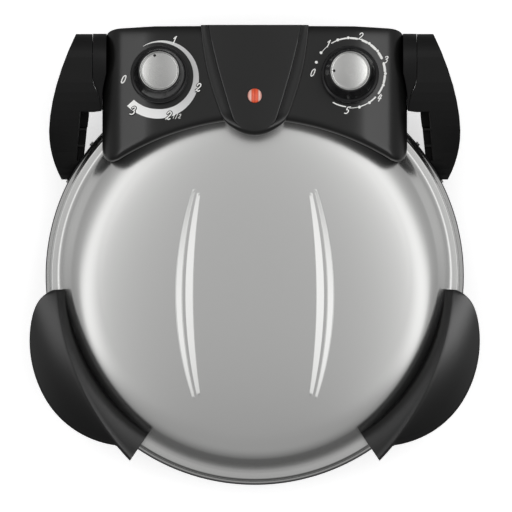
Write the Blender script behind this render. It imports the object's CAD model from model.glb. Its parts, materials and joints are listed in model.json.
# %% [markdown]
# # A round pizza maker, dressed over its CAD model
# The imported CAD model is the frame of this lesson: it stands in metres, with the table at z = 0 and the
# hinge at the rear, and nothing in it is moved. Every piece below is drawn over it, rides on one of its
# bodies and takes the place of a plain CAD node, or gives such a node a real finish.

# %% Load the frame
import json
import math

import bpy
from mathutils import Matrix, Vector


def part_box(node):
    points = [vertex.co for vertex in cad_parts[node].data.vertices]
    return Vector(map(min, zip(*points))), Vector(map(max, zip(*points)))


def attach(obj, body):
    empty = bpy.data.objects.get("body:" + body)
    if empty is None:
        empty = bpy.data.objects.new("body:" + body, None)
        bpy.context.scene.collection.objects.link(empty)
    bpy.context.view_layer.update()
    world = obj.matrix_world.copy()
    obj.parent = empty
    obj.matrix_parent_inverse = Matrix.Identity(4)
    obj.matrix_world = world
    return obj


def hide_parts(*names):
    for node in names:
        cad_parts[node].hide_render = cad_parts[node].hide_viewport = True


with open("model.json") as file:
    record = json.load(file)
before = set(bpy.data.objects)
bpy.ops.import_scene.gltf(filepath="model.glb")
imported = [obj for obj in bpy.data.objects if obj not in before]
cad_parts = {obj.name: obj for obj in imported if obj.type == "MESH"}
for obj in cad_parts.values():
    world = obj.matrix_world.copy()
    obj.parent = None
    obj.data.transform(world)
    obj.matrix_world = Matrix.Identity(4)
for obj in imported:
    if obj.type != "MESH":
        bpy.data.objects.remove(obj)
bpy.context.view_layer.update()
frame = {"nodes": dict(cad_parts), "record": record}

# %% [markdown]
# ## Camera first
# The cooker is looked at from straight above. A camera that stands twelve metres up with a long lens sees
# a round lid as round and a knob's side hardly at all, which is what we want here. The lens is worked out
# from the width that should fill the frame, so that one number says how close we are.

# %% Camera
RIM_Z = 0.082
stand_off = 12.0
seen_width = 0.4428
sensor_mm = 36.0
view_centre = (0.0011, -0.0008)

camera_data = bpy.data.cameras.new("camera")
camera_data.lens = sensor_mm * stand_off / seen_width
camera = bpy.data.objects.new("camera", camera_data)
camera.location = (*view_centre, RIM_Z + stand_off)
bpy.context.scene.collection.objects.link(camera)
bpy.context.scene.camera = camera
print("lens", round(camera_data.lens, 1), "mm")

# %% [markdown]
# ## Levels and the cooking axis
# All sizes below are in millimetres, as on a drawing, and are measured from the cooking axis, the line
# through the middle of stone and lid. The CAD nodes tell where that line and the levels are, so a change
# of the part carries over to its looks.

# %% Sizes
MM = 0.001


def node_box(node):
    low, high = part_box(node)
    return [c / MM for c in low], [c / MM for c in high]


lid_low, lid_high = node_box("lid_shell")
AXIS_Y = (lid_low[1] + lid_high[1]) / 2
RIM_R = (lid_high[0] - lid_low[0]) / 2
LID_Z = lid_low[2]
BAND_Z = LID_Z + 23.6
CROWN_Z = BAND_Z + 30.4
base_low, base_high = node_box("base_shell")
BASE_TOP = base_high[2]
FLOOR_Z = base_low[2]
RIM_OUT = (base_high[0] - base_low[0]) / 2
WALL_R = RIM_OUT - 7
print("axis at y", round(AXIS_Y, 2), "lid radius", round(RIM_R, 2), "seam", round(LID_Z, 2))

# %% [markdown]
# ## Helpers for drawing
# Paths come first. A bend is a soft curve between two lines, and a run is a chain of bends that share
# their ends. A path can also be moved sideways, which gives a sheet its second face.

# %% Path tools
def bend(start, corner, end, n=10):
    points = []
    for i in range(n + 1):
        t = i / n
        points.append(tuple((1 - t) ** 2 * a + 2 * t * (1 - t) * b + t * t * c
                            for a, b, c in zip(start, corner, end)))
    return points


def run(start, *arcs):
    """A chain of bends from a start, with a corner, an end and a number of steps for each."""
    path = [start]
    for corner, end, n in arcs:
        path += bend(path[-1], corner, end, n)[1:]
    return path


def mix(a, b, t):
    return a + (b - a) * t


def smooth(t):
    t = min(max(t, 0.0), 1.0)
    return t * t * (3 - 2 * t)


def beside(path, d):
    """The path moved sideways by d, to its left where d is above 0."""
    shifted = []
    for i, (x, y) in enumerate(path):
        ax, ay = path[max(i - 1, 0)]
        bx, by = path[min(i + 1, len(path) - 1)]
        length = math.hypot(bx - ax, by - ay) or 1.0
        shifted.append((max(x - d * (by - ay) / length, 0.0), y + d * (bx - ax) / length))
    return shifted


print("path tools ready")

# %% [markdown]
# ### Meshes
# A form is points and faces: one turned from an outline, as on a lathe, or a skin over a row of sections.
# Both give closed, even quads.

# %% Form tools
def turned_mesh(outline, steps=192, closed=True):
    """Points and faces of a form turned about the z axis from [radius, height] points."""
    vertices, rows, faces = [], [], []
    for r, z in outline:
        if r < 1e-6:
            rows.append([len(vertices)] * steps)
            vertices.append((0.0, 0.0, z))
        else:
            rows.append(list(range(len(vertices), len(vertices) + steps)))
            vertices += [(r * math.cos(math.tau * i / steps), r * math.sin(math.tau * i / steps), z)
                         for i in range(steps)]
    pairs = list(zip(rows, rows[1:])) + ([(rows[-1], rows[0])] if closed else [])
    for lower, upper in pairs:
        for i in range(steps):
            j = (i + 1) % steps
            face = list(dict.fromkeys((lower[i], lower[j], upper[j], upper[i])))
            if len(face) > 2:
                faces.append(face)
    return vertices, faces


def skin_mesh(rings, round_ring=True, capped=True):
    """Points and faces of a skin over rings with as many points each."""
    n = len(rings[0])
    vertices = [p for ring in rings for p in ring]
    faces = []
    for k in range(len(rings) - 1):
        for i in range(n if round_ring else n - 1):
            j = (i + 1) % n
            faces.append((k * n + i, k * n + j, (k + 1) * n + j, (k + 1) * n + i))
    if capped:
        faces.append(tuple(range(n - 1, -1, -1)))
        faces.append(tuple((len(rings) - 1) * n + i for i in range(n)))
    return vertices, faces


print("form tools ready")

# %% [markdown]
# Meshes can be moved by a matrix, joined, turned over and mirrored.

# %% Mesh tools
def moved(vertices, matrix):
    return [tuple(matrix @ Vector(v)) for v in vertices]


def joined(*meshes):
    vertices, faces = [], []
    for some_vertices, some_faces in meshes:
        start = len(vertices)
        vertices += list(some_vertices)
        faces += [tuple(start + i for i in face) for face in some_faces]
    return vertices, faces


def turned_over(mesh):
    """The mesh with its faces looking the other way."""
    vertices, faces = mesh
    return vertices, [tuple(reversed(face)) for face in faces]


def mirror_mesh(mesh):
    vertices, faces = turned_over(mesh)
    return [(-x, y, z) for x, y, z in vertices], faces


print("mesh tools ready")

# %% [markdown]
# ### From meshes to pieces
# A piece rides on a body, takes the place of CAD nodes, and has a finish and a slot. Its sharp edges are
# marked by angle, so that a bent sheet shades softly and a cut edge stays crisp. Most pieces at the sides
# come in pairs, where the left one is the mirror image of the right.

# %% Piece tools
def new_piece(name, vertices, faces, body, stands_for=(), slot="", crisp=38, ink=None):
    """A mesh object from points in millimetres about the cooking axis, with its slot's finish or an ink."""
    mesh = bpy.data.meshes.new(name)
    mesh.from_pydata([(x * MM, (y + AXIS_Y) * MM, z * MM) for x, y, z in vertices], [], faces)
    mesh.validate()
    mesh.shade_smooth()
    mesh.set_sharp_from_angle(angle=math.radians(crisp))
    piece = bpy.data.objects.new(name, mesh)
    bpy.context.scene.collection.objects.link(piece)
    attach(piece, body)
    if stands_for:
        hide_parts(*stands_for)
    mesh.materials.append(ink or finishes[slot])
    return piece


def new_pair(name, mesh, body, stands_for=((), ()), **looks):
    """A right piece from a mesh and a left one from its mirror image."""
    return (new_piece("right_" + name, *mesh, body, stands_for[0], **looks),
            new_piece("left_" + name, *mirror_mesh(mesh), body, stands_for[1], **looks))


print("piece tools ready")

# %% [markdown]
# ### Shader nodes
# Floor, room and finishes are node trees. The helpers start a material, set or link a node's inputs by
# name, add a node, and give a colour ramp its stops.

# %% Node tools
finishes = {}


def new_material(name):
    """A new material, kept in `finishes` under its name."""
    finishes[name] = made = bpy.data.materials.new(name)
    made.use_nodes = True
    return made.node_tree, made.node_tree.nodes["Principled BSDF"]


def wire(tree, node, **inputs):
    """Set or link inputs by name, with an underscore for each space."""
    for name, value in inputs.items():
        socket = node.inputs[name.replace("_", " ")]
        if isinstance(value, bpy.types.NodeSocket):
            tree.links.new(value, socket)
        else:
            socket.default_value = value
    return node


def add_node(tree, kind, settings=None, **inputs):
    node = tree.nodes.new("ShaderNode" + kind)
    for name, value in (settings or {}).items():
        setattr(node, name, value)
    return wire(tree, node, **inputs)


def grey(value):
    return (value, value, value, 1)


def set_stops(ramp, stops):
    """Give a colour ramp its [position, colour] stops, in their order."""
    ends = ramp.color_ramp.elements
    for element, (place, colour) in zip((ends[0], ends[1]), (stops[0], stops[-1])):
        element.position, element.color = place, colour
    for place, colour in stops[1:-1]:
        ends.new(place).color = colour


print("node tools ready")

# %% [markdown]
# ## Floor
# A plain pale floor that runs far out, so that no edge of it shows from any side. It is one flat mesh and
# isn't part of the object. Polished metal would mirror it and lose its shape, so the floor is kept out of
# mirror images. A real table would show in the dome's flank.

# %% Floor
FLOOR_HALF = 30
floor_mesh = bpy.data.meshes.new("floor")
floor_plan = [(-1, -1), (1, -1), (1, 1), (-1, 1)]
floor_mesh.from_pydata([(x * FLOOR_HALF, y * FLOOR_HALF, 0) for x, y in floor_plan], [], [(0, 1, 2, 3)])
floor = bpy.data.objects.new("floor", floor_mesh)
bpy.context.scene.collection.objects.link(floor)
floor_tree, paper = new_material("floor_paper")
wire(floor_tree, paper, Base_Color=grey(0.93), Roughness=0.95, Specular_IOR_Level=0.1,
     Emission_Color=grey(1), Emission_Strength=0.50)
floor_mesh.materials.append(finishes["floor_paper"])
floor.visible_glossy = False
print("floor", floor.dimensions[0], "m wide")

# %% [markdown]
# ## Studio
# Three soft boxes light everything: one at each side, about a metre up, and a wide one above. They give
# the shadows and the diffuse light, and none of them shows in a mirror image. What the dome mirrors is
# the room alone, which comes next. A box can also be linked to chosen pieces, and those further on are
# mirrored by the pieces they are linked to.

# %% Soft boxes
scene = bpy.context.scene
scene.view_settings.view_transform = "Standard"
scene.view_settings.look = "None"


def softbox(name, place, aim, width, length, watts, mirrored=True, only=()):
    data = bpy.data.lights.new(name, "AREA")
    data.shape = "RECTANGLE"
    data.size, data.size_y = width, length
    data.energy = watts
    box = bpy.data.objects.new(name, data)
    box.location = place
    box.rotation_mode = "QUATERNION"
    box.rotation_quaternion = (Vector(aim) - Vector(place)).to_track_quat("-Z", "Y")
    box.visible_camera = False
    box.visible_glossy = mirrored
    if only:
        lit = bpy.data.collections.new(name + "_lights")
        for piece in only:
            lit.objects.link(piece)
        box.light_linking.receiver_collection = lit
    scene.collection.objects.link(box)


softbox("left_softbox", (-0.68, 0.25, 1.10), (-0.68, 0.25, 0.0), 0.46, 1.0, 0.9, mirrored=False)
softbox("right_softbox", (0.66, 0.25, 1.10), (0.66, 0.25, 0.0), 0.50, 1.0, 1.1, mirrored=False)
softbox("top_fill", (0.0, -0.1, 2.2), (0, 0, 0), 2.4, 2.0, 16.0, mirrored=False)

# %% [markdown]
# ### The room
# The room is a world shader made of ramps: bright side walls with a duller gap overhead. All are read
# along a direction, so the room is endlessly far and no reflection depends on where a piece stands. Two
# helpers read a ramp and do sums on directions.

# %% Room tools
studio = bpy.data.worlds.new("studio")
scene.world = studio
studio.use_nodes = True
room = studio.node_tree
room.nodes.clear()
where = add_node(room, "TexCoord")
split = add_node(room, "SeparateXYZ", Vector=where.outputs["Generated"])
to_right, to_rear, upward = (split.outputs[axis] for axis in "XYZ")


def room_ramp(along, stops):
    """Brightness by one measure of the direction, from [measure, grey] stops."""
    reach = add_node(room, "MapRange", From_Min=-1.0, Value=along)
    ramp = add_node(room, "ValToRGB", Fac=reach.outputs["Result"])
    set_stops(ramp, [((place + 1) / 2, grey(shade)) for place, shade in stops])
    return ramp.outputs["Color"]


def room_math(kind, a, b):
    node = add_node(room, "Math", {"operation": kind})
    for socket, value in zip(node.inputs, (a, b)):
        if isinstance(value, float):
            socket.default_value = value
        else:
            room.links.new(value, socket)
    return node.outputs[0]


def times(a, b):
    return room_math("MULTIPLY", a, b)


print("room tools ready")

# %% [markdown]
# The walls get brighter outwards and stop short of the front. A direction counts as further out the more
# it also points to the rear, and a wall's lower edge sinks towards the rear. Near the middle line the
# walls fade away, so that they don't meet.

# %% Side walls
LEAN, SINK, SINK_UP_TO = 0.45, 0.6, 0.22
side = room_math("SIGN", to_right, 0.0)
lean = times(room_math("ADD", to_rear, room_math("MAXIMUM", to_rear, 0.0)), LEAN)
outward = room_math("ADD", to_right, times(side, lean))
walls = room_ramp(outward, [
    (-1, 0.80), (-0.62, 0.80), (-0.52, 0.74), (-0.46, 0.66), (-0.41, 0.52), (-0.36, 0.30), (-0.26, 0.20),
    (-0.16, 0.15), (-0.08, 0.04), (0.0, 0.0), (0.08, 0.05), (0.16, 0.22), (0.26, 0.29), (0.36, 0.40),
    (0.41, 0.60), (0.46, 0.74), (0.52, 0.80), (0.62, 0.84), (1, 0.84)])
middle = room_ramp(to_right, [
    (-1, 1.0), (-0.18, 1.0), (-0.14, 0.9), (-0.10, 0.55), (-0.05, 0.3), (0.0, 0.15), (0.05, 0.3),
    (0.10, 0.55), (0.14, 0.9), (0.18, 1.0), (1, 1.0)])
wall_by_y = room_ramp(to_rear, [
    (-1, 0.0), (-0.62, 0.02), (-0.52, 0.10), (-0.44, 0.35), (-0.36, 0.75), (-0.28, 1.0), (0.5, 1.0),
    (0.8, 0.4), (1, 0.3)])
sunken = room_math("SUBTRACT", upward, times(room_math("MINIMUM", to_rear, SINK_UP_TO), SINK))
wall_by_z = room_ramp(sunken, [
    (-1, 0.50), (-0.5, 0.55), (-0.34, 0.42), (-0.2, 0.26), (0.0, 0.17), (0.2, 0.12), (0.4, 0.08),
    (0.54, 0.10), (0.62, 0.22), (0.71, 0.75), (0.79, 1.0), (1, 1.0)])
wall_light = times(times(walls, wall_by_y), times(wall_by_z, middle))
print("walls from", len(room.nodes), "nodes")

# %% [markdown]
# The gap overhead is what a flat crown mirrors. It is a little brighter over the middle than in front and
# behind, and it gets darker towards the horizon, so that the dome's flank turns dark.

# %% Overhead gap
gap_by_y = room_ramp(to_rear, [
    (-1, 0.36), (-0.8, 0.37), (-0.6, 0.355), (-0.36, 0.355), (-0.2, 0.365), (-0.13, 0.38),
    (-0.06, 0.405), (0.0, 0.42), (0.3, 0.39), (1, 0.36)])
gap_by_z = room_ramp(upward, [
    (-1, 0.16), (-0.34, 0.24), (-0.24, 0.38), (0.0, 0.56), (0.24, 0.72), (0.5, 0.92), (0.64, 1.0), (1, 1.0)])
room_grey = room_math("ADD", wall_light, times(gap_by_y, gap_by_z))
print("room from", len(room.nodes), "nodes")

# %% [markdown]
# The camera itself looks past the room: what it sees behind the floor is plain paper white, while every
# mirror image and all light come from the room. A light path node tells the two apart.

# %% Room output
rays = add_node(room, "LightPath")
room_light = add_node(room, "Background", Color=room_grey)
room_paper = add_node(room, "Background", Color=grey(0.97))
either = add_node(room, "MixShader", Fac=rays.outputs["Is Camera Ray"])
room.links.new(room_light.outputs[0], either.inputs[1])
room.links.new(room_paper.outputs[0], either.inputs[2])
room_out = add_node(room, "OutputWorld", Surface=either.outputs[0])
print("room linked to", room_out.name)

# %% [markdown]
# ## Finishes
# A finish is a small node tree. Each starts from the same shader and adds what the real surface has: a
# grain that roughens a moulded plastic, brush lines on turned metal, pores in fired clay. The helper
# below lays a noise over the piece's own coordinates, so the scale is in real millimetres, and uses it
# to vary colour and roughness a little and to raise a bump.

# %% Finish helper
def finish(name, colour, roughness, metallic=0.0, grain_mm=0.5, bump=0.0, vary=0.0, rough_vary=0.0,
           stretch=(1, 1, 1), coat=0.0, specular=0.5, second=None, detail=3.0, edge_mm=0.0):
    tree, shader = new_material(name)
    place = add_node(tree, "TexCoord")
    scale = add_node(tree, "Mapping", Scale=stretch, Vector=place.outputs["Object"])
    grain = add_node(tree, "TexNoise", Scale=1.0 / (grain_mm * MM), Detail=detail,
                     Vector=scale.outputs["Vector"])
    low = second or tuple(c * (1 - vary) for c in colour)
    high = colour if second else tuple(min(c * (1 + vary), 1.0) for c in colour)
    tint = add_node(tree, "Mix", {"data_type": "RGBA"}, A=(*low, 1), B=(*high, 1),
                    Factor=grain.outputs["Fac"])
    dull = add_node(tree, "MapRange", To_Min=max(roughness - rough_vary, 0.02),
                    To_Max=min(roughness + rough_vary, 1.0), Value=grain.outputs["Fac"])
    wire(tree, shader, Metallic=metallic, Specular_IOR_Level=specular,
         Base_Color=tint.outputs["Result"], Roughness=dull.outputs["Result"])
    if coat:
        wire(tree, shader, Coat_Weight=coat, Coat_Roughness=0.08)
    if bump or edge_mm:
        relief = add_node(tree, "Bump", Strength=min(bump, 1.0), Distance=grain_mm * MM * 0.5,
                          Height=grain.outputs["Fac"])
        wire(tree, shader, Normal=relief.outputs["Normal"])
        if edge_mm:
            rounding = add_node(tree, "Bevel", {"samples": 4}, Radius=edge_mm * MM)
            wire(tree, relief, Normal=rounding.outputs["Normal"])
    return finishes[name]


print("finish helper ready")

# %% [markdown]
# ### Plastics and rubber
# The handles and hinge arms are a satin black moulding with a fine grain, the housing is a shade softer,
# and the knobs are glossy. The base colours are set darker than black plastic commonly is, so that
# mirrored light alone draws the form under these lights; the record holds the more usual values. The
# carried-over CAD pieces get rounded edges from the shader.

# %% Plastics
finish("black_plastic", (0.003, 0.003, 0.003), 0.42, grain_mm=0.35, bump=0.10, vary=0.15,
       rough_vary=0.05, specular=0.33, edge_mm=0.6)
finish("housing_plastic", (0.002, 0.002, 0.0019), 0.34, grain_mm=0.3, bump=0.06,
       vary=0.12, rough_vary=0.04, specular=0.42)
finish("knob_gloss", (0.006, 0.006, 0.0065), 0.22, grain_mm=4.0, bump=0.01, vary=0.1,
       rough_vary=0.03, specular=0.5)
finish("rubber", (0.030, 0.030, 0.030), 0.75, grain_mm=0.6, bump=0.25, vary=0.2, rough_vary=0.08,
       specular=0.3, edge_mm=0.5)
finish("white_plastic", (0.80, 0.80, 0.77), 0.45, grain_mm=0.8, bump=0.05, vary=0.04,
       rough_vary=0.05, edge_mm=0.3)
print("plastics and rubber:", sorted(finishes))

# %% [markdown]
# ### Metals
# The lid is satin silver: a fairly smooth metal that still mirrors the black handles in its flank. The
# linings are bright aluminised sheet with faint rolling lines, the bottom is duller galvanised sheet with
# its flowery patches, and the heaters are steel that heat has darkened.

# %% Metals
finish("lid_metal", (0.80, 0.80, 0.79), 0.24, metallic=1.0, grain_mm=0.25, bump=0.03,
       vary=0.03, rough_vary=0.03)
finish("bright_sheet", (0.78, 0.78, 0.77), 0.26, metallic=1.0, grain_mm=2.0, bump=0.04,
       vary=0.05, rough_vary=0.07, stretch=(1, 12, 1), edge_mm=0.3)
finish("plain_sheet", (0.52, 0.53, 0.54), 0.42, metallic=1.0, grain_mm=7.0, bump=0.03,
       vary=0.22, rough_vary=0.12, detail=1.0, edge_mm=0.3)
finish("heater_tube", (0.22, 0.225, 0.21), 0.45, metallic=1.0, grain_mm=3.0, bump=0.08,
       vary=0.3, rough_vary=0.12)
finish("screws", (0.62, 0.62, 0.60), 0.30, metallic=1.0, grain_mm=1.5, bump=0.05,
       vary=0.1, rough_vary=0.08, edge_mm=0.2)
finish("brass", (0.72, 0.56, 0.26), 0.34, metallic=1.0, grain_mm=1.2, bump=0.05, vary=0.08,
       rough_vary=0.08, edge_mm=0.3)
finish("bell_metal", (0.80, 0.80, 0.80), 0.12, metallic=1.0, grain_mm=3.0, bump=0.01,
       vary=0.03, rough_vary=0.04)
finish("base_paint", (0.035, 0.035, 0.037), 0.42, grain_mm=0.9, bump=0.10, vary=0.15,
       rough_vary=0.06, specular=0.5)
print("with the metals", len(finishes), "finishes")

# %% [markdown]
# ### Clay, mat and ceramic
# The stone is fired clay, warm and quite matt, with a mottled colour and fine pores. The insulation is a
# pale mat of mineral fibres, seen only where the lining is open, and the terminal block is unglazed
# ceramic.

# %% Clay and ceramics
finish("stone", (0.78, 0.63, 0.45), 0.92, grain_mm=1.6, bump=0.35, rough_vary=0.05,
       second=(0.58, 0.44, 0.30), detail=8.0, specular=0.25)
finish("mat", (0.80, 0.76, 0.62), 0.95, grain_mm=0.8, bump=0.6, vary=0.15, rough_vary=0.03,
       stretch=(1, 6, 1), detail=6.0, specular=0.2)
finish("ceramic", (0.83, 0.80, 0.73), 0.62, grain_mm=0.5, bump=0.12, vary=0.05, rough_vary=0.08,
       edge_mm=0.4)
print("with clay, mat and ceramic", len(finishes), "finishes")

# %% [markdown]
# ## The dome
# The lid is one sheet, spun or pressed: a shallow crown, a round shoulder, a flank that falls to a flat
# band, and a skirt with a rolled bead. It could be a sphere cut short, but the light runs along exactly
# these bends, so the sheet's profile is drawn as a path and turned, with its inner face beside it.

# %% Dome profile
SHEET = 1.0


def dome_path():
    return (
        [(RIM_R, LID_Z), (RIM_R, LID_Z + 1.6)]
        + bend((RIM_R, LID_Z + 3.4), (RIM_R - 0.2, LID_Z + 5), (RIM_R - 1.8, LID_Z + 5.6), 6)
        + bend((RIM_R - 2.4, LID_Z + 6.4), (RIM_R - 2.6, LID_Z + 9), (RIM_R - 2.9, LID_Z + 12), 4)
        + bend((RIM_R - 3.4, BAND_Z - 4.2), (RIM_R - 3.8, BAND_Z + 0.1), (RIM_R - 5.4, BAND_Z + 0.1), 10)
        + bend((RIM_R - 9.2, BAND_Z + 0.15), (RIM_R - 12.8, BAND_Z + 0.3), (RIM_R - 16.2, BAND_Z + 5.5), 12)
        + run((RIM_R - 21.4, CROWN_Z - 17.6),
              ((RIM_R - 24.3, CROWN_Z - 13.9), (RIM_R - 29.4, CROWN_Z - 11.4), 14),
              ((RIM_R - 36.3, CROWN_Z - 8.1), (RIM_R - 46, CROWN_Z - 6.5), 14),
              ((RIM_R - 51.7, CROWN_Z - 5.45), (RIM_R - 60, CROWN_Z - 4.5), 6),
              ((RIM_R - 99.5, CROWN_Z), (0.0, CROWN_Z), 28))
    )


def height_on(path, r):
    """Height of a path, given from the rim inward, at radius r."""
    for (ra, za), (rb, zb) in zip(path, path[1:]):
        if rb <= r <= ra:
            return mix(za, zb, (ra - r) / (ra - rb)) if ra > rb else max(za, zb)
    return path[0][1]


dome = dome_path()
sheet_outline = dome + list(reversed(beside(dome, SHEET)))
lid_dome = new_piece("lid_dome", *turned_mesh(sheet_outline, 256), "lid", ("lid_shell",), "lid_metal",
                     crisp=50)
print("dome", len(lid_dome.data.vertices), "points")

# %% [markdown]
# ## Pressed crescents
# Two crescents on each side of the crown step it up towards the middle. Each is a slope that faces
# outwards, so it mirrors the bright wall of its side, and ends in a short steep edge. They could be cut into
# the dome's mesh, which then needs very fine quads all over. A thin skin laid over the dome gives the
# same light with few points: its rim dips under the dome and its height follows a saw-tooth profile.

# %% Crescents
CRESCENT_Y = -16.0


def arc_x(widest, tips, along, length):
    """Distance from the middle of an arc that is widest at 0 and meets its tips at -1 and 1."""
    rise = widest - tips
    radius = (length ** 2 + rise ** 2) / (2 * rise)
    return widest - radius + math.sqrt(radius ** 2 - (length * along) ** 2)


def crescent_mesh(outer, outer_tips, inner, inner_tips, length, profile, height):
    rings = []
    stations = 140
    for k in range(stations + 1):
        along = -math.cos(math.pi * k / stations)
        a, b = arc_x(outer, outer_tips, along, length), arc_x(inner, inner_tips, along, length)
        share = min((a - b) / (outer - inner), 1.0) * smooth((1 - abs(along)) / 0.035)
        ring = []
        for across, rise in profile:
            x, y = mix(a, b, across), CRESCENT_Y + length * along
            sunk = 0.04 if rise <= 0 or share < 0.01 else 0.0
            ring.append((x, y, height_on(dome, math.hypot(x, y)) + height * rise * share - sunk))
        rings.append(ring)
    return turned_over(skin_mesh(rings, round_ring=False, capped=False))


outer_profile = ([(0.0, 0.0), (0.03, 0.07), (0.06, 0.13), (0.09, 0.17), (0.11, 0.18), (0.16, 0.175),
                  (0.18, 0.18), (0.20, 0.20)]
                 + [(0.20 + 0.68 * t / 14, 0.20 + 0.80 * t / 14) for t in range(1, 15)]
                 + [(0.90, 1.0), (0.93, 0.94), (0.96, 0.6), (1.0, 0.0)])
inner_profile = ([(0.0, 0.0), (0.03, 0.02), (0.06, 0.06)]
                 + [(0.06 + 0.86 * t / 14, 0.06 + 0.94 * t / 14) for t in range(1, 15)]
                 + [(0.94, 1.0), (0.96, 0.92), (0.98, 0.6), (1.0, 0.0)])
half_crescents = joined(crescent_mesh(68.9, 53.4, 62.2, 50.9, 91.0, outer_profile, 1.75),
                        crescent_mesh(59.8, 49.6, 52.6, 46.5, 88.0, inner_profile, 1.7))
lid_crescents = new_piece("lid_crescents", *joined(half_crescents, mirror_mesh(half_crescents)), "lid",
                          slot="lid_metal", crisp=24)
print("crescents", len(lid_crescents.data.vertices), "points")

# %% [markdown]
# ## Wing handles
# A wing stands on the lid's band. Its foot keeps to one radius all along, which covers the screws that
# hold it, while its ridge moves outwards towards the tail. From the ridge a broad scoop falls outwards to
# the lip, so that a hand can lift the lid without touching metal. The section changes all the way round,
# so the wing is a skin over sections, with a small fillet where the ridge turns.

# %% Wing outline
WING_FROM, WING_TO = 4.0, 56.0
WING_BULGE, RIDGE_H, LIP_DROP, LIP_T = 30.1, 25.5, 12.0, 3.6
WIDEST = 0.513


def wing_out(u):
    if u < WIDEST:
        x = (WIDEST - u) / WIDEST
        return RIM_R + WING_BULGE - 25 * x ** 2 - 10 * x ** 16
    return RIM_R + WING_BULGE - 33.5 * ((u - WIDEST) / (1 - WIDEST)) ** 2


def ridge_at(u):
    lift = max(math.sin(math.pi * u / 1.15), 0.0) ** 0.8
    return RIM_R - 8.8 + 19 * u * u, BAND_Z + RIDGE_H * (0.28 + 0.72 * lift)


def lip_share(u):
    return max(0.12, 1 - abs(2 * min(u / 0.93, 1) - 1) ** 3)


print("wings reach", round(RIM_R + WING_BULGE, 1), "mm out")

# %% [markdown]
# Each section runs up the inner wall, over the ridge, down the scoop and back under the lip. The sections
# stand along the wing's arc, closer together at its ends, and one skin joins them.

# %% Wing skin
def wing_section(u):
    foot, foot_r = BAND_Z + 0.15, RIM_R - 16.4
    ridge_r, ridge_z = ridge_at(u)
    lip_r = max(wing_out(u), ridge_r + 2.4)
    lip_z = ridge_z - lip_share(u) * (ridge_z - BAND_Z + LIP_DROP)
    rise, drop, reach = ridge_z - foot, ridge_z - lip_z, lip_r - ridge_r
    inner = bend((foot_r, foot), (foot_r - 0.3, foot + mix(0.6, 0.85, smooth(u * 1.4)) * rise),
                 (ridge_r - 0.9, ridge_z - 0.7), 14)
    fillet = bend((ridge_r - 0.5, ridge_z - 0.25), (ridge_r + 0.1, ridge_z + 0.1),
                  (ridge_r + 0.9, ridge_z - 0.05), 4)
    scoop = bend((ridge_r + 1.4, ridge_z - 0.12), (ridge_r + 0.56 * reach, ridge_z - 0.26 * drop),
                 (lip_r - 0.7, lip_z + 0.5), 16)
    edge = bend((lip_r - 0.25, lip_z), (lip_r + 0.02, lip_z - 0.5), (lip_r - 0.3, lip_z - 0.7 * LIP_T), 4)
    under = bend((lip_r - 1.6, lip_z - LIP_T), (ridge_r + 0.3 * reach, ridge_z - 0.5 * drop - LIP_T),
                 (max(RIM_R - 7.0, foot_r + 1.0), foot), 14)
    return inner + fillet + scoop + edge + under


def turned_ring(section, angle):
    return [(r * math.cos(angle), r * math.sin(angle), z) for r, z in section]


def wing_angle(u):
    return math.radians(-WING_FROM - u * (WING_TO - WING_FROM))


def eased(k, n, pull=0.35):
    """Stations that crowd towards both ends."""
    t = k / n
    return mix(t, 0.5 - 0.5 * math.cos(math.pi * t), pull)


def wing_mesh(section, n=72):
    rings = [turned_ring(section(eased(k, n)), wing_angle(eased(k, n))) for k in range(n + 1)]
    return skin_mesh(rings)


right_wing, left_wing = new_pair(
    "wing", wing_mesh(wing_section), "lid",
    (("right_lid_handle",), ("left_lid_handle",)), slot="black_plastic", crisp=45)
print("wings", len(right_wing.data.vertices), "points each")

# %% [markdown]
# ## Lower grips
# Under each wing the base carries a shelf of the same plastic that turns up to its lip. It follows the
# wing's outline a little further in, so the two read as one handle from above. Its ends are drawn in
# 3.5 mm further than those of the CAD grips, so that they stay hidden under the lid's rim.

# %% Grips
def grip_section(u):
    root, z = WALL_R + 0.1, BASE_TOP - 18
    lip_r = max(wing_out(u) - 4, WALL_R + 5.5)
    lip_z = BASE_TOP - 16 + 9 * lip_share(u)
    deep = 8 + 10 * lip_share(u)
    top = bend((root, z), (root + 0.45 * (lip_r - root), z - 5), (lip_r - 1.8, lip_z - 0.2), 12)
    edge = bend((lip_r - 1.2, lip_z), (lip_r, lip_z - 0.1), (lip_r, lip_z - 1.4), 4)
    under = bend((lip_r - 0.4, lip_z - 4), (root + 0.6 * (lip_r - root), z - deep),
                 (root, z - deep - 3), 12)
    return top + edge + under


grips = new_pair(
    "grip", wing_mesh(grip_section, 60), "base", (("right_base_handle",), ("left_base_handle",)),
    slot="black_plastic")
print("grips", len(grips[0].data.vertices), "points each")

# %% [markdown]
# ## Base bowl
# The base is a pressed bowl with a rolled rim, painted satin black. As with the dome, the sheet's profile
# is turned, with the roll drawn as a real edge that shows as a thin dark ring round the lid.

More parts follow.
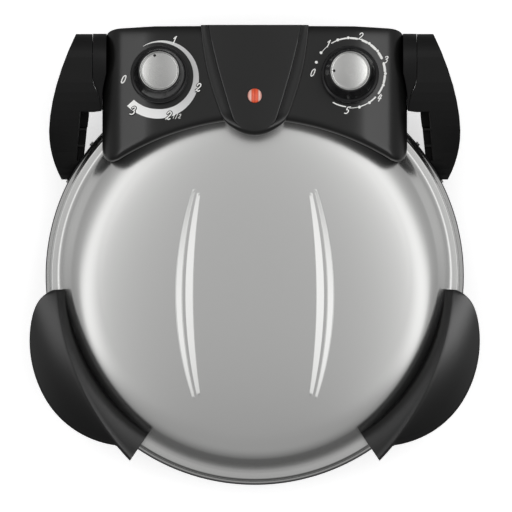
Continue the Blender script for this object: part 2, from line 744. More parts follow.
# %% Base bowl
BASE_T = 1.2
HEEL_R, FLOOR_W = 24, 10
base_path = (
    [(RIM_OUT - 6, BASE_TOP)]
    + bend((RIM_OUT - 3, BASE_TOP), (RIM_OUT, BASE_TOP), (RIM_OUT, BASE_TOP - 3))
    + bend((RIM_OUT, BASE_TOP - 8), (RIM_OUT, BASE_TOP - 11.5), (RIM_OUT - 3, BASE_TOP - 12))
    + bend((WALL_R + 2.5, BASE_TOP - 12.2), (WALL_R, BASE_TOP - 12.5), (WALL_R, BASE_TOP - 15))
    + bend((WALL_R, FLOOR_Z + HEEL_R), (WALL_R, FLOOR_Z), (WALL_R - HEEL_R, FLOOR_Z), 18)
    + [(WALL_R - HEEL_R - FLOOR_W, FLOOR_Z)]
)
bowl_outline = base_path + list(reversed(beside(base_path, -BASE_T)))
base_bowl = new_piece("base_bowl", *turned_mesh(bowl_outline, 224), "base", ("base_shell",),
                      "base_paint", crisp=50)
print("bowl", len(base_bowl.data.vertices), "points")

# %% [markdown]
# ## Baking stone
# A round tile of fired clay with a softened edge. Its top is a hair uneven, as pressed clay is, and it
# gets its mottling from the finish. It is turned from its section and then its face is roughened with a
# few long waves, too low to feel but enough to break up the light.

# %% Stone
stone_low, stone_high = node_box("baking_stone")
STONE_R = (stone_high[0] - stone_low[0]) / 2
stone_h = stone_high[2] - stone_low[2]
stone_outline = (
    [(0.0, 0.0)] + [(r, 0.0) for r in (40, 80, 120)]
    + bend((STONE_R - 1.6, 0.0), (STONE_R, 0.0), (STONE_R, 1.6), 4)
    + bend((STONE_R, stone_h - 2.4), (STONE_R, stone_h), (STONE_R - 2.4, stone_h), 6)
    + [(r, stone_h) for r in range(148, 0, -6)] + [(0.0, stone_h)]
)
WAVE_H, WAVE_X, WAVE_Y = 0.12, 17, 23


def stone_dip(x, y, z):
    """How far a point of the upper face lies below the flat."""
    return WAVE_H * (1 + math.sin(x / WAVE_X) * math.cos(y / WAVE_Y)) if z > stone_h - 0.01 else 0


stone_vertices, stone_faces = turned_mesh(stone_outline, 160, closed=False)
stone_vertices = [(x, y, stone_low[2] + z - stone_dip(x, y, z)) for x, y, z in stone_vertices]
new_piece("baking_tile", stone_vertices, stone_faces, "base", ("baking_stone",), "stone")
print("stone radius", round(STONE_R, 1), "thickness", round(stone_h, 1))

# %% [markdown]
# ## The sloping top
# The housing's top leans back by nine degrees about the line through the knobs' axes. One matrix holds
# that slope. The sizes of the plan are measured from the lid's rim, so the housing follows the lid.

# %% Slope of the housing
TILT = math.radians(9)
KNOB_X, KNOB_Y = 82.0, RIM_R - 7.4
TOP_Z = CROWN_Z + 12
HOUSING_X = RIM_R - 48.6
REAR_Y = RIM_R + 35.2
FRONT_Y = RIM_R - 47.3
CORNER_Y = FRONT_Y - 32.8
HOUSING_Z = BAND_Z - 6
REAR_W, REAR_H, NOSE_W, NOSE_H = 12.0, 5.0, 7.0, 9.0
KNUCKLE_IN = HOUSING_X - 3.8
HINGE_Y = RIM_R + 8.6

slope = Matrix.Translation((0, KNOB_Y, TOP_Z)) @ Matrix.Rotation(-TILT, 4, "X")
left_control = slope @ Matrix.Translation((-KNOB_X, 0, 0))
right_control = slope @ Matrix.Translation((KNOB_X, 0, 0))
print("top leans", round(math.degrees(TILT), 1), "degrees")

# %% [markdown]
# One function gives the height of the top over any point of the plan, with the rolled ends and the soft
# front and rear edges, so that the cover, the panel and every printed mark agree.

# %% Height of the top
def by_x(path, x):
    """The second coordinate of a path at x, for a path whose x only grows."""
    for (xa, ya), (xb, yb) in zip(path, path[1:]):
        if xa <= x <= xb:
            return mix(ya, yb, (x - xa) / (xb - xa)) if xb > xa else yb
    return path[-1][1]


def plane_z(y):
    return TOP_Z - (y - KNOB_Y) * math.tan(TILT)


ROLL_W = 54.0
END_ROLL = run((HOUSING_X - ROLL_W, 0.0),
               ((HOUSING_X - 42, 0.0), (HOUSING_X - 35.4, -1.8), 8),
               ((HOUSING_X - 27, -4.1), (HOUSING_X - 17.4, -7.3), 10),
               ((HOUSING_X - 10.2, -9.8), (HOUSING_X - 5.4, -16.8), 14),
               ((HOUSING_X - 0.4, -24.0), (HOUSING_X, -34.6), 10))



def top_z(x, y):
    """Height of the housing's top over a point of the plan."""
    z = plane_z(y)
    if abs(x) > HOUSING_X - ROLL_W:
        z += by_x(END_ROLL, min(abs(x), HOUSING_X))
    behind = REAR_Y - min(y, REAR_Y)
    if behind < REAR_W:
        z -= REAR_H * (1 - math.sqrt(behind / REAR_W)) ** 2
    ahead = max(y - by_x(front_plan, abs(x)), 0.0)
    if ahead < NOSE_W:
        z -= NOSE_H * (1 - math.sqrt(ahead / NOSE_W)) ** 2
    return z


print("front edge at", round(plane_z(FRONT_Y), 1))

# %% [markdown]
# ## Housing cover
# The cover is a moulded box with an S-shaped front that follows the dome, rolled ends and a soft rear
# edge. It is drawn as sections along its length: each runs up the front wall, over the top and down the
# rear. Stations crowd where the plan turns a corner. The skin gets its wall from a solidify modifier.

# %% Cover plan
FRONT_BEND, COVER_T = 2.2, 2.4
front_plan = (
    [(0, FRONT_Y), (25.6, FRONT_Y)]
    + bend((27, FRONT_Y), (75, FRONT_Y - 6.7), (HOUSING_X - 14, CORNER_Y), 24)
    + bend((HOUSING_X - 10, CORNER_Y - 1.4), (HOUSING_X - 1, CORNER_Y - 2), (HOUSING_X, CORNER_Y + 8), 16)
)
rear_plan = (
    [(0, REAR_Y), (46, REAR_Y)]
    + [(KNUCKLE_IN - 42, REAR_Y - 0.3)]
    + bend((KNUCKLE_IN - 12, REAR_Y - 2), (KNUCKLE_IN - 1.6, REAR_Y - 3), (KNUCKLE_IN, REAR_Y - 8), 12)
    + [(KNUCKLE_IN + 0.02, HINGE_Y - 4)]
    + bend((KNUCKLE_IN + 0.04, HINGE_Y - 14), (HOUSING_X - 0.6, HINGE_Y - 26), (HOUSING_X, HINGE_Y - 36), 6)
)


def lid_or_floor(x, y):
    r = math.hypot(x, y)
    return max(height_on(dome, r) + 0.12, HOUSING_Z) if r < RIM_R - 4 else HOUSING_Z


def cover_section(x):
    front, rear = by_x(front_plan, x), by_x(rear_plan, x)
    front_top, rear_top = top_z(x, front), top_z(x, rear)
    section = [(front, mix(lid_or_floor(x, front), front_top - FRONT_BEND, t))
               for t in (0.0, 0.03, 0.12, 0.35, 0.6, 0.85)]
    for t in (0.0, 0.1, 0.25, 0.4, 0.6, 0.8, 1.0):
        y = front + FRONT_BEND * t * t
        section.append((y, top_z(x, y) - FRONT_BEND * (1 - t) ** 2))
    span = rear - front - FRONT_BEND
    for k in range(1, 41):
        y = front + FRONT_BEND + span * mix(1 - (1 - k / 40) ** 1.5, smooth(k / 40), 0.6)
        section.append((y, top_z(x, y)))
    section += [(rear, mix(rear_top, HOUSING_Z, t)) for t in (0.04, 0.15, 0.4, 0.7, 0.97, 1.0)]
    return [(x, y, z) for y, z in section]


cover_stations = sorted(set(
    [k * 4.0 for k in range(0, 20)] + [x for x, _ in END_ROLL] + [x for x, _ in front_plan[26:]]
    + [x for x, _ in rear_plan[2:]]))
cover_stations = [x for i, x in enumerate(cover_stations)
                  if i == 0 or x - cover_stations[i - 1] > 0.015]
print("cover stations", len(cover_stations), "from 0 to", cover_stations[-1])

# %% [markdown]
# The skin over these sections is one half drawn and mirrored, so both ends are alike. A solidify modifier
# gives it the wall of a real moulding, and its ends are closed. It has no holes, so the control shafts run
# through it, hidden by the knobs; the CAD cover has the real holes.

# %% Cover skin
half_sections = [cover_section(x) for x in cover_stations]
cover_rings = [[(-x, y, z) for x, y, z in ring] for ring in reversed(half_sections[1:])] + half_sections
cover_vertices, cover_faces = skin_mesh(cover_rings, round_ring=False)
housing_skin = new_piece("housing_skin", cover_vertices, cover_faces, "lid", ("housing_cover",),
                         "housing_plastic", crisp=42)
wall = housing_skin.modifiers.new("wall", "SOLIDIFY")
wall.thickness = COVER_T * MM
wall.offset = 1.0
print("cover", len(cover_vertices), "points")

# %% [markdown]
# ## Centre panel
# A raised tongue with a round nose runs from over the dome to the rear edge. What makes it read is its
# border: a sunk channel between two crisp edges that catch the light as thin lines, and that runs out into
# a plain round edge at the nose. It is drawn between two lines on the plan, with close loops where the
# border bends, as a drawn radius would have.

# %% Panel
PANEL_T = 6.0


def through(points, steps=5):
    """A smooth path through points."""
    ends = [points[0]] + list(points) + [points[-1]]
    path = [points[0]]
    for a, b, c, d in zip(ends, ends[1:], ends[2:], ends[3:]):
        for k in range(1, steps + 1):
            t = k / steps
            path.append(tuple(0.5 * (2 * q + (r - p) * t + (2 * p - 5 * q + 4 * r - s) * t * t
                                     + (3 * q - p - 3 * r + s) * t ** 3) for p, q, r, s in zip(a, b, c, d)))
    return path


outer_line = through([
    (0.0, 120.6), (7.0, 121.5), (14.0, 124.1), (20.5, 128.0), (25.4, 132.2), (28.4, 137.5), (32.6, 148.5),
    (37.0, 161.5), (41.4, 178.0), (43.9, 192.0), (45.5, 205.0), (46.4, REAR_Y + 0.8)])
inner_line = through([
    (0.0, 124.4), (5.2, 125.0), (9.6, 126.8), (13.4, 129.4), (16.4, 132.4), (18.6, 136.4), (22.4, 148.0),
    (26.4, 161.5), (31.2, 178.0), (34.7, 192.0), (37.8, 205.0), (39.9, REAR_Y + 0.8)])


def panel_ring(t, side_lift, nose_lift):
    half = [(mix(x, u, t), mix(y, v, t)) for (x, y), (u, v) in zip(outer_line, inner_line)]
    row = [(x, y, plane_z(y) + mix(nose_lift, side_lift, smooth((y - 126) / 16))) for x, y in half]
    return row + [(-x, y, z) for x, y, z in reversed(row) if x > 0.001]


panel_loops = [panel_ring(*row) for row in (
    (0.0, -9.0, -9.0), (0.0, 0.7, -2.0), (0.012, 1.1, -0.9), (0.045, 1.45, 0.2), (0.10, 1.6, 1.2),
    (0.15, 1.6, 1.9), (0.35, 1.3, 3.6), (0.60, 0.95, 4.9), (0.84, 0.8, 5.55), (0.90, 0.85, 5.65),
    (0.925, 1.5, 5.7),
    (0.945, PANEL_T - 1.3, 5.73), (0.960, PANEL_T - 0.7, 5.76), (0.985, PANEL_T - 0.25, 5.82),
    (1.03, PANEL_T - 0.05, 5.9), (1.10, PANEL_T, 5.97))]
skirt_loop = [(x, y, lid_or_floor(x, y) if y < FRONT_Y - 0.2 else z) for x, y, z in panel_loops[0]]
panel_vertices, panel_faces = skin_mesh([skirt_loop] + panel_loops, capped=False)
panel_faces.append(tuple(range(len(panel_vertices) - len(skirt_loop), len(panel_vertices))))
tongue = new_piece("tongue", panel_vertices, panel_faces, "lid", ("centre_panel",), "housing_plastic",
                   crisp=25)
print("panel", len(panel_vertices), "points")

# %% [markdown]
# ## Knobs and caps
# A knob is a glossy moulding with a stepped skirt, a waisted body and a turned aluminium cap let into its
# top. The cap has a bright thin rim and one sunk dot as its pointer. All of it is lathe work: one section
# for the plastic, one for the metal, both set on the slope by its matrix.

# %% Knob sections
KNOB_R, CAP_R, KNOB_H, KNOB_Z = 25.0, 17.0, 22.0, 0.6
knob_outline = (
    [(10.0, 1.0), (22.4, 1.0), (22.6, 0.05), (KNOB_R - 0.9, 0.0)]
    + bend((KNOB_R - 0.5, 0.05), (KNOB_R, 0.1), (KNOB_R, 0.9), 4)
    + bend((KNOB_R, 3.6), (KNOB_R - 0.1, 5.4), (KNOB_R - 1.3, 5.9), 6)
    + bend((KNOB_R - 1.9, 6.2), (KNOB_R - 2.6, 6.5), (KNOB_R - 2.8, 7.4), 5)
    + bend((KNOB_R - 3.6, 11.0), (CAP_R + 2.6, KNOB_H - 5), (CAP_R + 1.3, KNOB_H - 1.1), 12)
    + bend((CAP_R + 1.2, KNOB_H - 0.6), (CAP_R + 1.1, KNOB_H), (CAP_R + 0.7, KNOB_H), 4)
    + [(CAP_R + 0.15, KNOB_H), (CAP_R + 0.1, KNOB_H - 0.4), (CAP_R + 0.1, KNOB_H - 2.2),
       (10.0, KNOB_H - 2.4)]
)
cap_outline = (
    [(0.0, 0.0), (CAP_R, 0.0), (CAP_R, 2.2)]
    + bend((CAP_R, 2.1), (CAP_R - 0.15, 2.45), (CAP_R - 0.5, 2.45), 4)
    + bend((CAP_R - 0.75, 2.45), (CAP_R - 1.0, 2.3), (CAP_R - 1.2, 2.05), 4)
    + bend((CAP_R - 1.5, 1.9), (CAP_R * 0.5, 2.6), (0.0, 2.6), 14)
)
print("knob section", len(knob_outline), "points, cap section", len(cap_outline))

# %% [markdown]
# ### Turned aluminium
# A lathe leaves fine rings round the middle. The distance from the cap's own axis, read from a flat map of
# its plan, drives a very fine noise, and that gives the rings in roughness and in a low bump.

# %% Turned finish
cap_tree, turned_shader = new_material("cap_metal")
own = add_node(cap_tree, "UVMap", {"uv_map": "rings"})
across = add_node(cap_tree, "VectorMath", {"operation": "LENGTH"}, Vector=own.outputs["UV"])
ring_noise = add_node(cap_tree, "TexNoise", {"noise_dimensions": "1D"}, Scale=90.0, Detail=4.0,
                      W=across.outputs["Value"])
ring_dull = add_node(cap_tree, "MapRange", To_Min=0.20, To_Max=0.30, Value=ring_noise.outputs["Fac"])
ring_bump = add_node(cap_tree, "Bump", Strength=0.05, Distance=0.00008, Height=ring_noise.outputs["Fac"])
wire(cap_tree, turned_shader, Metallic=1.0, Base_Color=(0.50, 0.50, 0.49, 1),
     Roughness=ring_dull.outputs["Result"], Normal=ring_bump.outputs["Normal"])
ink_black = finish("ink_black", (0.01, 0.01, 0.01), 0.6, grain_mm=0.5, vary=0.1, specular=0.2)
print("turned finish ready")

# %% [markdown]
# One function makes a whole control and is called twice. The rings of the cap are read from a flat map of
# the cap's own plan, so they turn with it. The pointer is a small sunk dot of black paint.

# %% Knobs in place
DOT_R = CAP_R - 3.2


def control(side, place, dot_angle):
    body = side + "_control"
    lifted = place @ Matrix.Translation((0, 0, KNOB_Z))
    knob_vertices, knob_faces = turned_mesh(knob_outline, 144)
    new_piece(side + "_grip_knob", moved(knob_vertices, lifted), knob_faces, body, (side + "_knob",),
              "knob_gloss", crisp=40)
    seat = lifted @ Matrix.Translation((0, 0, KNOB_H - 2 + 0.02))
    flat_vertices, cap_faces = turned_mesh(cap_outline, 144)
    cap = new_piece(side + "_face", moved(flat_vertices, seat), cap_faces, body, (side + "_cap",),
                    "cap_metal", crisp=40)
    rings = cap.data.uv_layers.new(name="rings")
    for loop in cap.data.loops:
        x, y, _ = flat_vertices[loop.vertex_index]
        rings.data[loop.index].uv = (x / CAP_R, y / CAP_R)
    a = math.radians(dot_angle)
    dot = seat @ Matrix.Translation((DOT_R * math.cos(a), DOT_R * math.sin(a), 2.06))
    dot_outline = [(0.0, 0.05), (0.85, 0.06), (1.15, 0.12), (1.2, 0.05), (1.2, -0.4)]
    dot_vertices, dot_faces = turned_mesh(dot_outline, 32, closed=False)
    new_piece(side + "_pointer", moved(dot_vertices, dot), dot_faces, body, slot="knob_gloss", ink=ink_black)
    return cap


left_cap = control("thermostat", left_control, 106.5)
right_cap = control("timer", right_control, 180)
print("knobs at", [[round(v, 1) for v in place.translation] for place in (left_control, right_control)])

# %% [markdown]
# ## Hinge knuckles
# The knuckle is a barrel about the pin's axis, with a web that runs forward between the housing and the
# arm and thins out to an edge. It is a closed skin over sections along its length and has no bore, so the
# pin runs through it out of sight; the CAD knuckle has the real bore. The skin follows the housing's side
# on one face and the arm's on the other. The web ends at the pin's level: lower down, it would meet the
# arm's neck when the lid swings up.

# %% Knuckles
hinge = next(joint for joint in frame["record"]["behaviour"]["joints"] if joint["name"] == "lid_hinge")
HINGE_Z = hinge["pos_m"][2] / MM
ARM_X = HOUSING_X + 8.2
BARREL, WEB_H, WEB_LENGTH = 20.2, 9.0, 46
arm_bend = bend((ARM_X - 1.4, -25.0), (HOUSING_X + 1.6, -36.0), (HOUSING_X + 1.0, -46.0), 10)
arm_line = ([(-52.0, HOUSING_X + 0.9)] + [(y, x) for x, y in reversed(arm_bend)]
            + [(-20.0, ARM_X), (30.0, ARM_X)])
side_line = ([(-60.0, HOUSING_X)] + [(y - HINGE_Y, x) for x, y in reversed(rear_plan[-7:])]
             + [(-4.0, KNUCKLE_IN + 0.02), (30.0, KNUCKLE_IN + 0.02)])


def knuckle_section(y):
    """Section at y, counted from the pin's axis."""
    outer = by_x(arm_line, y) - 0.06
    inner = min(by_x(side_line, y) + 0.02, outer - 0.2)
    round_h = math.sqrt(max(BARREL ** 2 - y * y, 0.0))
    web = mix(BARREL, WEB_H, smooth(-y / WEB_LENGTH)) if y < 0 else 0.0
    top, low = HINGE_Z + max(round_h, web), HINGE_Z - round_h
    edge = min(0.8, (outer - inner) * 0.3, (top - low) * 0.3)
    return [(x, HINGE_Y + y, z) for x, z in (
        (inner, low), (outer, low), (outer, top - 0.1), (outer - 0.05, top - 0.05), (outer - 0.1, top),
        (inner + edge, top), (inner + 0.3 * edge, top - 0.3 * edge), (inner, top - edge))]


knuckle_stations = sorted([-45.5 + k * 1.265 for k in range(20)]
                          + [-BARREL * math.cos(math.pi * k / 40) for k in range(40)]) + [BARREL - 0.01]
knuckle_mesh = skin_mesh([knuckle_section(y) for y in knuckle_stations])
new_pair("web", knuckle_mesh, "lid", (("right_knuckle",), ("left_knuckle",)), slot="black_plastic",
         crisp=30)
print("knuckles", len(knuckle_mesh[0]), "points each")

# %% [markdown]
# ## Pocket floors
# Each hinge arm has a pocket in its inner side. A thin floor behind the neck makes it read dark from above,
# as it does further forward, where the arm's own web closes it. The CAD arms have no such floor.

# %% Pocket floors
pocket_plan = [(ARM_X + 3.8, HINGE_Y - 46.5), (ARM_X + 3.9, HINGE_Y - 50), (ARM_X + 5.1, HINGE_Y - 60),
               (ARM_X + 12.6, HINGE_Y - 60), (ARM_X + 12.0, HINGE_Y - 46.5)]
POCKET_LOW, POCKET_HIGH = BASE_TOP - 12, BASE_TOP - 9.5
pocket_mesh = skin_mesh([[(x, y, z) for x, y in reversed(pocket_plan)] for z in (POCKET_LOW, POCKET_HIGH)])
new_pair("pocket_floor", pocket_mesh, "base", slot="black_plastic")
print("pocket floors at", round(POCKET_HIGH, 1))

# %% [markdown]
# ## Printed dials
# The dials are printed in pale ink on the sloping, rolled top: a sickle that grows with the heat on the
# left, and dots and dashes for the minutes on the right, each with plain numbers. Ink has no thickness to
# speak of, so every mark is a thin ribbon laid a few hundredths over the surface, with its height asked
# from the same function as the cover's.

# %% Inks
LEFT_DIAL, RIGHT_DIAL = (-81.7, 172.7), (82.4, 175.3)
ink_white = finish("ink_white", (0.90, 0.90, 0.88), 0.55, grain_mm=0.4, bump=0.03, vary=0.04,
                   rough_vary=0.05)
ink_fade = finish("ink_fade", (0.6, 0.6, 0.59), 0.55, grain_mm=0.4, bump=0.03, vary=0.05,
                  rough_vary=0.05)
fade_tree = ink_fade.node_tree
fade_place = add_node(fade_tree, "TexCoord")
fade_shift = add_node(fade_tree, "Mapping", Vector=fade_place.outputs["Object"],
                      Location=(-LEFT_DIAL[0] * MM, -(LEFT_DIAL[1] + AXIS_Y) * MM, 0.0))
fade_round = add_node(fade_tree, "TexGradient", {"gradient_type": "RADIAL"},
                      Vector=fade_shift.outputs["Vector"])
fade_ramp = add_node(fade_tree, "ValToRGB", Fac=fade_round.outputs["Fac"])
set_stops(fade_ramp, [(0.10, (0.95, 0.95, 0.93, 1)), (0.25, grey(0.80)), (0.38, grey(0.60)),
                      (0.50, grey(0.52)), (0.62, grey(0.58)), (0.82, (0.88, 0.88, 0.86, 1))])
wire(fade_tree, fade_tree.nodes["Principled BSDF"], Base_Color=fade_ramp.outputs["Color"])
print("inks:", ink_white.name, ink_fade.name)

# %% [markdown]
# A mark is a ribbon between two rows of plan points, a pen stroke of even width, or a round spot. The top
# stands nearer to the eye than the rim does, so all marks are drawn in by half a percent.

# %% Printing tools
DRAWN_IN, DRAWN_TO = 0.995, (1.3, 17.1)


def printed(points, lift):
    """Points on the housing's top, a little over it."""
    drawn = [(mix(DRAWN_TO[0], x, DRAWN_IN), mix(DRAWN_TO[1], y, DRAWN_IN)) for x, y in points]
    return [(x, y, top_z(x, y) + lift) for x, y in drawn]


def polar(centre, r, degrees):
    a = math.radians(degrees)
    return centre[0] + r * math.cos(a), centre[1] + r * math.sin(a)


def ribbon(left_edge, right_edge, lift=0.05, strips=1):
    """A printed strip between two rows of plan points, with strips across so that it follows a curve."""
    rows = [[(mix(ax, bx, k / strips), mix(ay, by, k / strips))
             for (ax, ay), (bx, by) in zip(left_edge, right_edge)] for k in range(strips + 1)]
    return turned_over(skin_mesh([printed(row, lift) for row in rows], round_ring=False, capped=False))


def stroke(path, width, lift=0.05):
    """A pen stroke of even width with round ends, along plan points."""
    left_edge, right_edge = [], []
    for i, (x, y) in enumerate(path):
        ax, ay = path[max(i - 1, 0)]
        bx, by = path[min(i + 1, len(path) - 1)]
        length = math.hypot(bx - ax, by - ay) or 1.0
        nx, ny = -(by - ay) / length * width / 2, (bx - ax) / length * width / 2
        left_edge.append((x + nx, y + ny))
        right_edge.append((x - nx, y - ny))
    pieces = [ribbon(left_edge, right_edge, lift, 2 if width > 1.2 else 1)]
    for x, y in (path[0], path[-1]):
        pieces.append(spot((x, y), width / 2, lift - 0.003, 12))
    return joined(*pieces)


def spot(centre, r, lift=0.05, n=20):
    rim = [polar(centre, r, 360 * k / n) for k in range(n)]
    return printed(rim, lift), [tuple(range(n))]


print("printing tools ready")

# %% [markdown]
# ### Numbers
# The numbers are written as with a brush pen, slanted and with rounded ends. Each is a few bends in a box
# one unit high; `number` scales, slants and places them.

# %% Numbers
DIGITS = {
    "0": [run((0.44, 1.0), ((0.06, 0.92), (0.05, 0.40), 8), ((0.04, -0.06), (0.26, 0.0), 6),
              ((0.58, 0.10), (0.58, 0.62), 8), ((0.60, 1.04), (0.42, 1.0), 5))],
    "1": [run((0.10, 0.66), ((0.30, 0.78), (0.46, 1.0), 5), ((0.32, 0.5), (0.24, 0.0), 5))],
    "2": [run((0.08, 0.76), ((0.20, 1.04), (0.46, 0.98), 6), ((0.80, 0.82), (0.46, 0.46), 8),
              ((0.10, 0.14), (-0.06, 0.04), 5), ((0.20, 0.20), (0.38, 0.04), 5),
              ((0.52, -0.02), (0.66, 0.12), 4))],
    "3": [run((0.12, 0.86), ((0.34, 1.06), (0.56, 0.92), 5), ((0.70, 0.66), (0.26, 0.56), 6),
              ((0.72, 0.52), (0.56, 0.20), 6), ((0.38, -0.08), (0.0, 0.10), 6))],
    "4": [run((0.44, 1.0), ((0.22, 0.62), (0.02, 0.40), 5)) + [(0.64, 0.38)],
          run((0.62, 0.84), ((0.46, 0.40), (0.36, 0.0), 5))],
    "5": [[(0.74, 0.98)] + run((0.30, 0.94), ((0.22, 0.70), (0.16, 0.56), 4),
                               ((0.74, 0.60), (0.56, 0.24), 7), ((0.38, -0.08), (0.0, 0.08), 6))],
    "/": [[(0.42, 1.05), (0.08, -0.1)]],
}



def number(text, centre, height, width, lean=0.28, lift=0.07, squeeze=0.82):
    """Meshes of a number's strokes about a centre point on the plan."""
    advance = 0.86 * height * squeeze
    start = -advance * len(text) / 2 + 0.1 * advance
    made = []
    for k, sign in enumerate(text):
        for path in DIGITS[sign]:
            placed = [(centre[0] + start + k * advance + (x * squeeze + (y - 0.5) * lean) * height,
                       centre[1] + (y - 0.5) * height) for x, y in path]
            made.append(stroke(placed, width, lift))
    return made


print("numbers drawn:", sorted(DIGITS))

# %% [markdown]
# The heat scale is one sickle whose inner edge keeps its distance from the knob while the outer one moves
# out, with square ends. Where a number lies on it, a slightly fatter black copy below gives the number an
# outline.

# %% Left dial
SICKLE_STEPS = 130


def sickle(centre):
    outer, inner = [], []
    for k in range(SICKLE_STEPS + 1):
        a = mix(120, -138, k / SICKLE_STEPS)
        turn = 120 - a
        grown = 29.9 + turn * 0.029 if turn < 120 else 33.4 + (turn - 120) * 0.0377
        thin = 29.6 - 0.9 * smooth(turn / 60)
        outer.append(polar(centre, grown, a))
        inner.append(polar(centre, thin if turn < 215 else mix(28.7, 30.6, (turn - 215) / 43), a))
    return ribbon(outer, inner, 0.05, 10)


left_marks, outlines = [], []
for text, place, height, width in (
        ("0", (-113.2, 170.0), 6.4, 1.0), ("1", (-69.0, 204.2), 6.4, 0.85), ("2", (-48.7, 162.8), 6.8, 0.95),
        ("2", (-74.3, 138.4), 6.8, 0.95), ("3", (-105.2, 142.7), 6.8, 0.95)):
    left_marks += number(text, place, height, width)
    if text in "23":
        outlines += number(text, (place[0] + 0.1, place[1] - 0.1), height, width + 1.5, lift=0.06)
left_marks += number("1/2", (-67.3, 137.9), 3.7, 0.42, squeeze=0.76)
new_piece("heat_sickle", *sickle(LEFT_DIAL), "lid", slot="white_plastic", ink=ink_fade)
new_piece("heat_numbers", *joined(*left_marks), "lid", slot="white_plastic", ink=ink_white)
new_piece("heat_outlines", *joined(*outlines), "lid", slot="housing_plastic", ink=ink_black)
print("left dial printed,", len(left_marks), "strokes")

# %% [markdown]
# The timer's scale runs nearly all the way round: a number at every minute, two dots between them, and a
# dash in each space that is thin at the start, fattest in the middle and thin again at the end.

# %% Right dial
DIAL_R, DOT_SIZE, DEGREES_IN_RADIAN = 30.6, 1.25, 57.3
timer_marks = [
    ("0", 179.3, 31.9), (".", 162.2, DIAL_R), (".", 144.9, DIAL_R), ("1", 125.2, 31.5),
    (".", 110.2, DIAL_R), (".", 92.8, DIAL_R), ("2", 73.5, 33.2), (".", 56.9, DIAL_R),
    (".", 38.8, DIAL_R), ("3", 20.5, 33.3), (".", -0.7, DIAL_R), (".", -19.9, DIAL_R),
    ("4", -39.8, 33.2), (".", -56.9, DIAL_R), (".", -74.7, DIAL_R), ("5", -94.3, 32.3)]
right_marks = []
for text, angle, r in timer_marks:
    place = polar(RIGHT_DIAL, r, angle)
    right_marks += [spot(place, DOT_SIZE)] if text == "." else number(text, place, 6.0, 0.8)
for index in range(2, 15):
    fat = 0.5 + 1.7 * math.sin(math.pi * min((index - 2) / 12, 1)) ** 1.2
    before, after = timer_marks[index], timer_marks[index + 1]
    gaps = [(fat / 2 + (1.15 if mark[0] == "." else 1.5)) * DEGREES_IN_RADIAN / DIAL_R
            for mark in (before, after)]
    start, end = before[1] - gaps[0], after[1] + gaps[1]
    path = [polar(RIGHT_DIAL, DIAL_R - 0.3, mix(start, end, k / 6)) for k in range(7)]
    right_marks.append(stroke(path, fat))
tail = [polar(RIGHT_DIAL, 29.4, mix(-97.5, -119.8, k / 10)) for k in range(11)]
right_marks.append(stroke(tail, 1.0))
new_piece("timer_scale", *joined(*right_marks), "lid", slot="white_plastic", ink=ink_white)
print("right dial printed,", len(right_marks), "marks")

# %% [markdown]
# ## Pilot lamp
# A clear red-orange lens with upright ribs over a small neon lamp. The ribs are real: the lens's height
# ripples across its width.

# %% Lens form
LAMP_R, LAMP_Y = 6.2, RIM_R - 26.1
RIB_H, RIB_PITCH = 0.16, 1.5
lamp_at = slope @ Matrix.Translation((0, (LAMP_Y - KNOB_Y) / math.cos(TILT), PANEL_T))
lens_outline = ([(0.0, -4.0), (LAMP_R - 0.4, -4.0), (LAMP_R - 0.4, 0.02), (LAMP_R, 0.02), (LAMP_R, 1.2)]
                + bend((LAMP_R - 0.3, 1.9), (LAMP_R * 0.7, 3.3), (0.0, 3.4), 14))
lens_vertices, lens_faces = turned_mesh(lens_outline, 96, closed=False)
lens_vertices = [(x, y, z + (RIB_H * math.cos(x * math.tau / RIB_PITCH) if z > 1.3 else 0))
                 for x, y, z in lens_vertices]
print("lens", len(lens_vertices), "points")

# %% [markdown]
# Red and pale stripes over the lens's width stand for what its ribs bend towards the eye, and it glows a
# little from within.

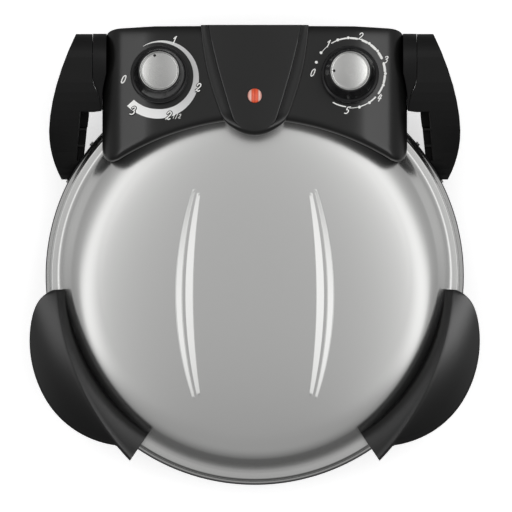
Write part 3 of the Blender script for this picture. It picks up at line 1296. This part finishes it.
# %% Lamp
lamp_red = finish("lamp_red", (0.80, 0.07, 0.02), 0.10, grain_mm=1.2, bump=0.0, rough_vary=0.03, coat=0.6)
lamp_tree = lamp_red.node_tree
lamp_place = add_node(lamp_tree, "TexCoord")
lamp_split = add_node(lamp_tree, "SeparateXYZ", Vector=lamp_place.outputs["Object"])
lamp_reach = add_node(lamp_tree, "MapRange", From_Min=-LAMP_R * MM, From_Max=LAMP_R * MM,
                      Value=lamp_split.outputs["X"])
lamp_bands = add_node(lamp_tree, "ValToRGB", Fac=lamp_reach.outputs["Result"])
set_stops(lamp_bands, [
    (0.0, (0.30, 0.05, 0.03, 1)), (0.10, (0.75, 0.42, 0.36, 1)), (0.22, (0.80, 0.50, 0.44, 1)),
    (0.30, (0.62, 0.09, 0.04, 1)), (0.42, (0.80, 0.10, 0.03, 1)), (0.50, (0.55, 0.05, 0.02, 1)),
    (0.60, (0.80, 0.10, 0.03, 1)), (0.72, (0.66, 0.09, 0.04, 1)), (0.80, (0.80, 0.52, 0.46, 1)),
    (0.91, (0.75, 0.42, 0.36, 1)), (1.0, (0.30, 0.05, 0.03, 1))])
wire(lamp_tree, lamp_tree.nodes["Principled BSDF"], Base_Color=lamp_bands.outputs["Color"],
     Emission_Color=(0.9, 0.12, 0.03, 1), Emission_Strength=0.04)
new_piece("lamp_dome", moved(lens_vertices, lamp_at), lens_faces, "lid", ("lamp_lens",), "lamp_red")
print("lamp at", [round(v, 1) for v in lamp_at.translation])

# %% [markdown]
# ## Light for the black pieces and the caps
# Black plastic throws back a small part of what metal does. Six more boxes are linked to chosen pieces:
# two shine on the housing, the tongue and the wings, two on the wings alone, and one on each turned cap,
# so that the two caps shade off in opposite ways. They were set by trial for this view and this room, and
# no real lamp shines on one piece only, so another scene had better start without them.

# %% Boxes for plastics and caps
black_pieces = [housing_skin, tongue, left_wing, right_wing]
wings_only = [left_wing, right_wing]
softbox("left_plastic_box", (-0.62, 0.34, 0.85), (-0.62, 0.34, 0.0), 0.48, 0.9, 3.2, only=black_pieces)
softbox("right_plastic_box", (0.62, 0.34, 0.85), (0.62, 0.34, 0.0), 0.48, 0.9, 3.9, only=black_pieces)
softbox("left_wing_box", (-0.52, 0.03, 0.27), (-0.19, -0.03, 0.08), 0.3, 0.3, 1.0, only=wings_only)
softbox("right_wing_box", (0.52, 0.03, 0.27), (0.19, -0.03, 0.08), 0.3, 0.3, 1.9, only=wings_only)
softbox("left_cap_box", (-0.53, 0.48, 1.10), (-0.53, 0.48, 0.0), 0.5, 0.8, 2.1, only=[left_cap])
softbox("right_cap_box", (0.50, 0.48, 1.10), (0.50, 0.48, 0.0), 0.5, 0.8, 2.9, only=[right_cap])

# %% [markdown]
# ## Finishes for the CAD nodes that stay
# Screws, clips, pins, elements and the inner works have their right shapes in the CAD already, so they
# stay and only get their finishes, by the slot that the record names for each.

# %% Carried-over nodes
slots = {row["node"]: row["material_slot"] for row in frame["record"]["subparts"]}
for name, node in frame["nodes"].items():
    for held in node.material_slots:
        held.material = finishes[slots[name]]
print("finished", len(frame["nodes"]), "CAD nodes")
